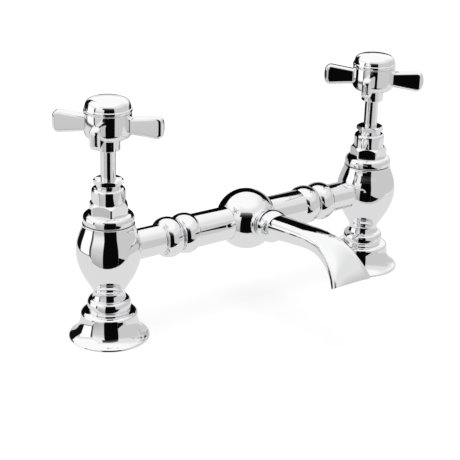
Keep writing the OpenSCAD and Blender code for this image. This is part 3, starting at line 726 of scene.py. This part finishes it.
# %% Turn the caps
cap_z = hub_top + 0.4
band_top, cap_top, side_r, band_r, band_edge = cap_z + 1.7, cap_z + 7, 11.7, 12.3, 0.3
edge_z, plug_r, plug_z, groove_depth = cap_top - 0.8, well_r - fit, well_z + 3.5, 1
cap_outline = (
    [(0, plug_z), (plug_r, plug_z), (plug_r, hub_top), (hub_r - groove_depth, hub_top),
     (hub_r - groove_depth, cap_z)]
    + arc((band_r - band_edge, cap_z + band_edge), band_edge, -90, 0, 5)
    + arc((band_r - band_edge, band_top - band_edge), band_edge, 0, 90, 5)
    + arc((side_r + 0.25, band_top + 0.25), 0.25, -90, -180, 4)
    + sweep((side_r, band_top + 0.6), (side_r - 0.3, edge_z - 1.7),
            (side_r - 1.2, edge_z - 0.3), (side_r - 3.4, edge_z + 0.2), 30)
    + sweep((side_r - 3.8, edge_z + 0.26), (side_r - 7, cap_top), (2, cap_top), (0, cap_top), 16)
)
for side in pillars:
    turned(f"{side}_domed_cap", cap_outline, on_pillar[side], f"{side}_handle", f"{side}_cap",
           "chrome_cap", cap_plate, 38)

# %% [markdown]
# ## The bridge
#
# Hot and cold water meet in the bridge. Each half is a tube from the body and an arm from the ball,
# which plug into each other between two rings. Their lathe axis lies along the bridge, so `place`
# turns the outline's height to X.

# %% Turn the bridge
bridge_z = neck_z + 25.7
tube_r, arm_tube_r, ring_r, ring_len, union_x, gap = 8.15, 9.3, 11.1, 10.6, 47.5, 0.5
tube_bore_r, arm_bore_r, spigot_r, spigot_len, arm_from = 5.5, 5.0, 6.8, 10, 11.0
on_bridge = {side: Matrix.Translation((0, 0, bridge_z)) @ Matrix.Rotation(sign * pi / 2, 4, "Y")
             for side, sign in pillars.items()}
outer_ring = bead(union_x + gap / 2 + ring_len / 2, ring_len / 2, tube_r, ring_r)
inner_ring = bead(union_x - gap / 2 - ring_len / 2, ring_len / 2, tube_r, ring_r)
tube_end, socket_end = half_span - 12.2, union_x + spigot_len + 0.4
arm_face = union_x + gap / 2 - 0.02
tube_outline = outer_ring + [
    (tube_r, tube_end), (tube_bore_r, tube_end), (tube_bore_r, socket_end),
    (spigot_r + fit, socket_end), (spigot_r + fit, union_x + gap / 2)]
arm_outline = (
    [(arm_bore_r, arm_from), (arm_tube_r, arm_from)]
    + [p for p in inner_ring if p[0] >= arm_tube_r or p[1] > union_x - ring_len / 2]
    + [(tube_r - 0.4, union_x - gap / 2), (tube_r - 0.4, arm_face), (spigot_r, arm_face),
       (spigot_r, union_x + spigot_len), (arm_bore_r, union_x + spigot_len)]
)
for side in pillars:
    turned(f"{side}_ringed_tube", tube_outline, on_bridge[side], "base", f"{side}_side_tube")
    turned(f"{side}_ringed_arm", arm_outline, on_bridge[side], "base", f"{side}_bridge_arm")

# %% [markdown]
# ## The ball and its collar
#
# The ball in the middle is hollow: the water mixes in it. Its sockets for the two arms have a crisp
# edge. The collar is a separate ring that dresses the place where the spout leaves the ball.

# %% Turn the ball and the collar
ball_r, ball_wall, socket_r = 17.0, 4.5, arm_tube_r + fit
hollow_r = ball_r - ball_wall


def from_socket_to_socket(radius, steps):
    """Angles from the edge of one socket to the edge of the other, on a ball of that radius."""
    first = degrees(asin(socket_r / radius))
    return [radians(first + (180 - 2 * first) * i / steps) for i in range(steps + 1)]


ball_outline = (
    [(ball_r * sin(a), -ball_r * cos(a)) for a in from_socket_to_socket(ball_r, 80)]
    + [(hollow_r * sin(a), hollow_r * cos(a)) for a in from_socket_to_socket(hollow_r, 40)]
)
turned("mixing_ball", ball_outline, on_bridge["cold"], "base", "ball")

spout_tilt = radians(7.2)
collar_s, pipe_r, dress_r, dress_edge = ball_r + 0.8, 6.0, 8.2, 0.8
on_spout = Matrix.Translation((0, 0, bridge_z)) @ Matrix.Rotation(pi / 2 - spout_tilt, 4, "X")
collar_outline = (
    [(pipe_r + fit, collar_s - 4), (dress_r, collar_s - 4)]
    + arc((dress_r - dress_edge, collar_s - dress_edge), dress_edge, 0, 90, 10)
    + [(pipe_r + fit, collar_s)]
)
turned("spout_ring", collar_outline, on_spout, "base", "spout_collar")

# %% [markdown]
# ## The spout
#
# The spout is the one main piece that no lathe made. It follows a rule all the same: a cross-
# section moves along a middle line of one straight and two bends, starts as a circle, swells to a
# bulb, and becomes a flat band with rounded edges that widens to the tip. Geometry Nodes are made
# for such a rule. A flat grid gives every vertex two numbers, how far along and how far round, and
# sums of them give its place. Every size is an input of the tree.

# %% Write the spout's rule as nodes
spout_sizes = {
    "Start": 11.5, "Collar front": collar_s + fit, "Pipe radius": pipe_r, "Neck radius": 6.7,
    "Bulb radius": 9.1, "Bulb": ball_r + 7, "Bulb half length": 5.2, "Band start": ball_r + 16,
    "Tilt": spout_tilt, "Straight": 55.5, "Slow bend": 64.0, "Slow angle": radians(8.5),
    "Tip bend": 30.0, "Tip angle": radians(57), "Width": 15.2, "Thickness": 10.0,
    "Tip width": 25.5, "Tip thickness": 5.6, "Squareness": 3.8, "Crown": 1.9, "Height": bridge_z,
}
spout_tree, spout_inputs = new_tree("spout sweep", {
    **{label: "Float" for label in spout_sizes}, "Finish": "Material"})

bench = Bench(spout_tree)
given = bench.node("NodeGroupInput")
grid = bench.node("GeometryNodeMeshGrid", {}, {
    "Size X": 1.0, "Size Y": 1.0, "Vertices X": 230, "Vertices Y": 97})
spot = bench.node("ShaderNodeSeparateXYZ", {}, {0: bench.node("GeometryNodeInputPosition")})
along, round_it = spot.of("X") + 0.5, spot.of("Y") + 0.5
straight, bulb, tilt = given.of("Straight"), given.of("Bulb"), given.of("Tilt")
slow_bend, tip_bend = given.of("Slow bend"), given.of("Tip bend")

# Distance along the middle line, and the direction there after each of the two bends
slow_len = slow_bend * given.of("Slow angle")
tip_len = tip_bend * given.of("Tip angle")
whole = straight + slow_len + tip_len
s = blend(given.of("Start"), whole, along)
turn_a = tilt - (s - straight).high(0).low(slow_len) / slow_bend
turn_b = turn_a - (s - straight - slow_len).high(0) / tip_bend
flat = s.low(straight)
forward = (flat * tilt.cos() + slow_bend * (tilt.sin() - turn_a.sin())
           + tip_bend * (turn_a.sin() - turn_b.sin()))
upward = (flat * tilt.sin() + slow_bend * (turn_a.cos() - tilt.cos())
          + tip_bend * (turn_b.cos() - turn_a.cos()))

# Half sizes of the cross-section there, how square it is, and how far its top is crowned
past_bulb = (s - bulb).high(0) / (whole - bulb)
band = s.ramp(bulb, given.of("Band start")).soft()
swell = (1 - ((s - bulb) / given.of("Bulb half length"))**2).high(0)**0.5
before_end = (bulb + given.of("Bulb half length") - s).high(0).sign()
swell = swell * before_end.high((bulb - s).sign())
root = blend(given.of("Neck radius"), given.of("Bulb radius"), swell)
outside = (s - given.of("Collar front")).sign().high(0)
root = blend(given.of("Pipe radius"), root, outside)
widening = blend(given.of("Width"), given.of("Tip width"), past_bulb**4)
thinning = blend(given.of("Thickness"), given.of("Tip thickness"), past_bulb**1.5)
half_w, half_t = blend(root, widening / 2, band), blend(root, thinning / 2, band)
power = blend(2.0, given.of("Squareness"), band)
crown = given.of("Crown") * band * (1 - past_bulb)

# The place round the cross-section, spread evenly over flats and corners
quarter = (round_it * 4).sum("FLOOR", round_it * 4)
t = (round_it * 4 - quarter).clip(0.00001, 0.99999)
spread = t**(power / 2) / (t**(power / 2) + (1 - t)**(power / 2))
a = (quarter + spread) * (pi / 2)
across = half_w * a.cos().sign() * a.cos().size()**(2 / power)
normal = half_t * a.sin().sign() * a.sin().size()**(2 / power)
normal = normal + crown * (1 - (across / half_w)**2) * a.sin().sign().high(0)
place = bench.node("ShaderNodeCombineXYZ", {}, {
    "X": across * MM, "Y": (normal * turn_b.sin() - forward) * MM,
    "Z": (given.of("Height") + upward + normal * turn_b.cos()) * MM})
moved = bench.node("GeometryNodeSetPosition", {}, {"Geometry": grid, "Position": place})
closed_tree(bench, moved, given.of("Finish"))
print("nodes in the spout's rule:", len(spout_tree.nodes))

# %% [markdown]
# The tree leaves a skin without thickness, with a seam where the round closes. The seam is merged,
# Solidify gives the casting its wall, and a narrow bevel rounds the lip at the tip.

# %% Make the spout
values = {**spout_sizes, "Finish": plate}
spout = made_by(spout_tree, {spout_inputs[label]: v for label, v in values.items()}, "swept_spout")
work = bmesh.new()
work.from_mesh(spout.data)
bmesh.ops.remove_doubles(work, verts=work.verts, dist=1e-6)
bmesh.ops.recalc_face_normals(work, faces=work.faces)
outwards = sum(f.calc_center_median().x * f.normal.x for f in work.faces)
if outwards < 0:
    bmesh.ops.reverse_faces(work, faces=work.faces)
work.to_mesh(spout.data)
work.free()
wall = spout.modifiers.new("wall", "SOLIDIFY")
wall.thickness = 1.3 * MM
wall.offset = -1
wall.use_even_offset = False
wall.use_rim = True
edged(applied(spout, wall), 0.3, 60)
shaded(spout.data, 40)
finished(spout, "base", "chrome", "spout")

# %% [markdown]
# ## The hidden pieces
#
# Rubber, fibre, packing, bare brass and steel keep their solids from the frame, because their
# shapes are right and they barely show. Each gets the finish of its stuff. A frame mesh is never
# changed, only its material.

# %% Finish the hidden pieces
def stuff(name, shade, other, metal, rough, grain, depth, stretch=(1, 1, 1)):
    material, bench, shader = principled(name)
    pattern = noise(bench, grain, 5.0, stretch, 0.6)
    share = pattern.ramp(0.3, 0.7)
    mixed = bench.node("ShaderNodeMix", {"data_type": "RGBA"}, {
        "Factor": share, "A": (*shade, 1), "B": (*other, 1)}, out="Result")
    colour = next(o for o in mixed.socket.node.outputs if o.type == "RGBA")
    bench.tree.links.new(colour, shader.inputs["Base Color"])
    shader.inputs["Metallic"].default_value = metal
    bench.tree.links.new((rough + 0.12 * share).socket, shader.inputs["Roughness"])
    bump(bench, shader, pattern, 0.35, depth)
    return material


# Two shades, metallic, roughness, fineness and depth of the grain, and how it is stretched
stuffs = {name: stuff(name, *values) for name, values in {
    "rubber": ((0.018, 0.018, 0.019), (0.04, 0.04, 0.041), 0.0, 0.6, 900, 0.00008),
    "fibre": ((0.15, 0.14, 0.13), (0.24, 0.225, 0.21), 0.0, 0.7, 1500, 0.00008, (1, 1, 4)),
    "packing": ((0.80, 0.77, 0.70), (0.92, 0.90, 0.86), 0.0, 0.75, 1400, 0.0001, (1, 1, 0.4)),
    "bare_brass": ((0.72, 0.52, 0.22), (0.80, 0.62, 0.30), 1.0, 0.22, 500, 0.00003, (1, 1, 9)),
    "screw_steel": ((0.50, 0.50, 0.51), (0.64, 0.64, 0.65), 1.0, 0.24, 600, 0.00003, (1, 1, 8)),
}.items()}
hidden = {
    "foot_gasket": "rubber", "headwork_washer": "fibre", "gland_packing": "packing",
    "washer_nut": "bare_brass", "tap_washer": "rubber", "jumper": "bare_brass",
    "handle_screw": "screw_steel", "seal_rings": "rubber", "lock_screw": "screw_steel"}
carried = {f"{side}_{kind}": made_of for side in pillars for kind, made_of in hidden.items()}
carried["spout_seal"] = "rubber"
for node, made_of in carried.items():
    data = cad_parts[node].data
    data.materials.clear()
    data.materials.append(stuffs[made_of])
print("carried over from the frame:", len(carried))

# %% [markdown]
# ## The studio
#
# A mirror is only as good as what it mirrors. Polished metal is photographed in a room of large
# pale and black panels: the pale ones give it brightness, the black ones its contrast. The far
# panels are painted on the world by direction. Their greys are written as they look in the mirror,
# so one line at the end turns them into light: it undoes the screen's curve and makes good what the
# chrome swallows. The camera itself sees plain white.

# %% Paint the far side of the room
def as_light(look, kept=0.9):
    """The strength that looks like this grey, from 0 to 1, in a mirror that keeps that share."""
    return ((look + 0.055) / 1.055)**2.4 / kept


def emptied(owner):
    """A bench on the node tree of a world or a material, with nothing on it yet."""
    owner.use_nodes = True
    owner.node_tree.nodes.clear()
    return Bench(owner.node_tree)


world = bpy.data.worlds.new("studio")
bpy.context.scene.world = world
room = emptied(world)
generated = room.node("ShaderNodeTexCoord", out="Generated")
direction = room.node("ShaderNodeSeparateXYZ", {}, {0: generated})
dx, dy, dz = direction.of("X"), direction.of("Y"), direction.of("Z")
towards = dx * -sin(camera_yaw) + dy * -cos(camera_yaw)
rightwards = dx * cos(camera_yaw) + dy * -sin(camera_yaw)
in_degrees = 180 / pi
heading = room.node("ShaderNodeMath", {"operation": "ARCTAN2"}, {0: rightwards, 1: towards})
heading = heading * in_degrees
rise = dz.clip(-1, 1).sum("ARCSINE", dz.clip(-1, 1)) * in_degrees


def strip(value, start, end, soft=0.8):
    """1 between start and end, 0 outside, with a narrow soft edge on both sides."""
    return value.ramp(start - soft, start + soft) * (1 - value.ramp(end - soft, end + soft))


# Pale walls that turn to a white ceiling, whiter on the left of the camera and behind the tap
wall_grey, high_grey, ceiling_more, back_grey = 0.78, 0.88, 0.1, 0.97
leftwards = heading.size() - 25
leftwards = leftwards.ramp(0, 25) * (1 - heading.ramp(-25, 0) * (1 - heading.ramp(140, 160)))
upper = high_grey + ceiling_more * rise.ramp(45, 62).high(leftwards)
light = blend(wall_grey, upper, rise.ramp(21, 32))
light = blend(light, back_grey, heading.size().ramp(115, 150) * rise.ramp(3, 14))

# Panels on the left, each with its highest rise, its left and right heading and its grey
lowest = -40
for highest, left, right, grey in (
        (19, -65, -58, 0.25),
        (22, -110, -65, 1.0),
        (31, -150 - 0.57 * rise, -107 - 1.3 * (rise - 8).high(0), 0.06)):
    light = blend(light, grey, strip(rise, lowest, highest) * strip(heading, left, right))

# The pale ground, with its edge straight in front of the tap, and the dark line at the far left
# end of that edge
edge_turn, edge_slope, edge_least, ground_grey, line_grey = radians(8), 0.87, 0.26, 0.86, 0.3
before = towards * cos(edge_turn) + rightwards * sin(edge_turn)
over_edge = dz + (before * edge_slope).high(edge_least)
light = blend(light, ground_grey, 1 - over_edge.ramp(-0.008, 0.008))
line = (1 - (over_edge - 0.01).size() / 0.02).clip()
line = line * heading.ramp(-150, -140) * (1 - heading.ramp(-50, -40))
light = blend(light, line_grey, line)
rays = room.node("ShaderNodeLightPath")
strength = blend(as_light(light), 1.0, rays.of("Is Camera Ray"))
glow = room.node("ShaderNodeBackground", {}, {"Color": (1, 1, 1, 1), "Strength": strength})
room.node("ShaderNodeOutputWorld", {}, {"Surface": glow})
print("nodes in the room:", len(world.node_tree.nodes))

# %% [markdown]
# ## The near cards
#
# The panels beside the camera stand so close that the two pillars see them in different directions:
# the black one is right of the middle in the hot pillar, and left of it in the cold one. A painted
# sky can't do that, so these are real cards, each painted by its own height and place. Two hang on
# the camera's side: a tall one with the black panel and a dim top, and a low one at its right that
# is dark below a slanting edge. The third hangs behind the bridge. It is black, which gives the
# dark line along the tops of ball and tubes, and pale only at its lower right, close behind the
# cold pillar. Only mirrors see the cards.

# %% Hang the cards
def card(name, away, left, right, low, high, paint):
    """An upright card square to the camera, `away` mm from the tap towards the camera."""
    right_way = Vector((cos(camera_yaw), -sin(camera_yaw), 0))
    out_way = Vector((-sin(camera_yaw), -cos(camera_yaw), 0))
    work = bmesh.new()
    corners = [work.verts.new(out_way * away + right_way * r + Vector((0, 0, z)))
               for r, z in ((left, low), (right, low), (right, high), (left, high))]
    work.faces.new(corners)
    mesh = bpy.data.meshes.new(name)
    work.to_mesh(mesh)
    work.free()
    mesh.transform(Matrix.Scale(MM, 4))
    material = bpy.data.materials.new(name)
    bench = emptied(material)
    place = bench.node("ShaderNodeTexCoord", out="Object")
    spot = bench.node("ShaderNodeSeparateXYZ", {}, {0: place})
    across = (spot.of("X") * cos(camera_yaw) - spot.of("Y") * sin(camera_yaw)) / MM
    strength = as_light(paint(across, spot.of("Z") / MM))
    own = bench.node("ShaderNodeEmission", {}, {"Color": (1, 1, 1, 1), "Strength": strength})
    bench.node("ShaderNodeOutputMaterial", {}, {"Surface": own})
    mesh.materials.append(material)
    made = linked(bpy.data.objects.new(name, mesh))
    made.visible_camera = made.visible_diffuse = False
    made.visible_shadow = made.visible_transmission = False
    print(name, "at", away, "mm")


def front_paint(across, height):
    """Pale, with a black panel from one slanting edge to the card's end, and a dim top."""
    low_pale, mid_pale, high_pale, black, slope = 0.66, 0.79, 0.93, 0.03, 0.07
    pale = blend(blend(low_pale, mid_pale, height.ramp(-220, 20)), high_pale, height.ramp(60, 200))
    at_top = height.ramp(222, 228)
    dim_grey = 0.10 + 0.55 * height.ramp(240, 400)
    look = blend(pale, dim_grey, across.ramp(-205, -195) * at_top)
    return blend(look, black, (across - slope * height).ramp(-158, -154) * (1 - at_top))


def side_paint(across, height):
    """Dark below an edge that slants down to the right."""
    pale, black, slope = 0.78, 0.04, 0.46
    slant = height + 60 + slope * (across - 200)
    return blend(pale, black, 1 - slant.ramp(-4, 4))


def black_paint(across, height):
    """Black, apart from a pale lower right."""
    pale, black = 0.72, 0.03
    pale_top = 24 + 51 * across.ramp(-15, 15)
    return blend(pale, black, (height - pale_top).ramp(-3, 3))


card("front_card", 400, -560, 200, -258, 400, front_paint)
card("side_card", 398, 200, 580, -266, -60, side_paint)
card("black_card", -80, -175, 88, 24, 135, black_paint)

# %% [markdown]
# ## The floor
#
# The tap stands on a plain pale floor. A part of its paleness is its own, so that it stays white up
# to the horizon, and the rest comes from the light on it, so that it keeps the soft shadow under
# the feet. The chrome doesn't mirror the floor, since the room is painted all round it.

# %% Lay the floor
floor_r, own_share = 6.0, 0.72
work = bmesh.new()
bmesh.ops.create_circle(work, cap_ends=True, segments=96, radius=floor_r)
ground = bpy.data.meshes.new("floor")
work.to_mesh(ground)
work.free()
floor = linked(bpy.data.objects.new("floor", ground))
material = bpy.data.materials.new("floor")
bench = emptied(material)
lit = bench.node("ShaderNodeBsdfDiffuse", {}, {"Color": (0.9, 0.9, 0.9, 1)})
own = bench.node("ShaderNodeEmission", {}, {"Color": (1, 1, 1, 1), "Strength": 1.0})
rays = bench.node("ShaderNodeLightPath")
seen = rays.of("Is Camera Ray").high(rays.of("Is Glossy Ray")).high(rays.of("Is Transmission Ray"))
both = bench.node("ShaderNodeMixShader", {}, {0: seen * own_share, 1: lit, 2: own})
bench.node("ShaderNodeOutputMaterial", {}, {"Surface": both})
ground.materials.append(material)
floor.visible_glossy = False

lamp = bpy.data.lights.new("ceiling", "AREA")
lamp.shape = "DISK"
lamp.size = 1.2
lamp.energy = 14
ceiling = linked(bpy.data.objects.new("ceiling", lamp))
ceiling.location = (-0.25, -0.1, 1.4)
ceiling.visible_glossy = False
bpy.context.scene.view_settings.view_transform = "Standard"
print("floor radius in m:", floor_r, "ceiling lamp at", tuple(ceiling.location))
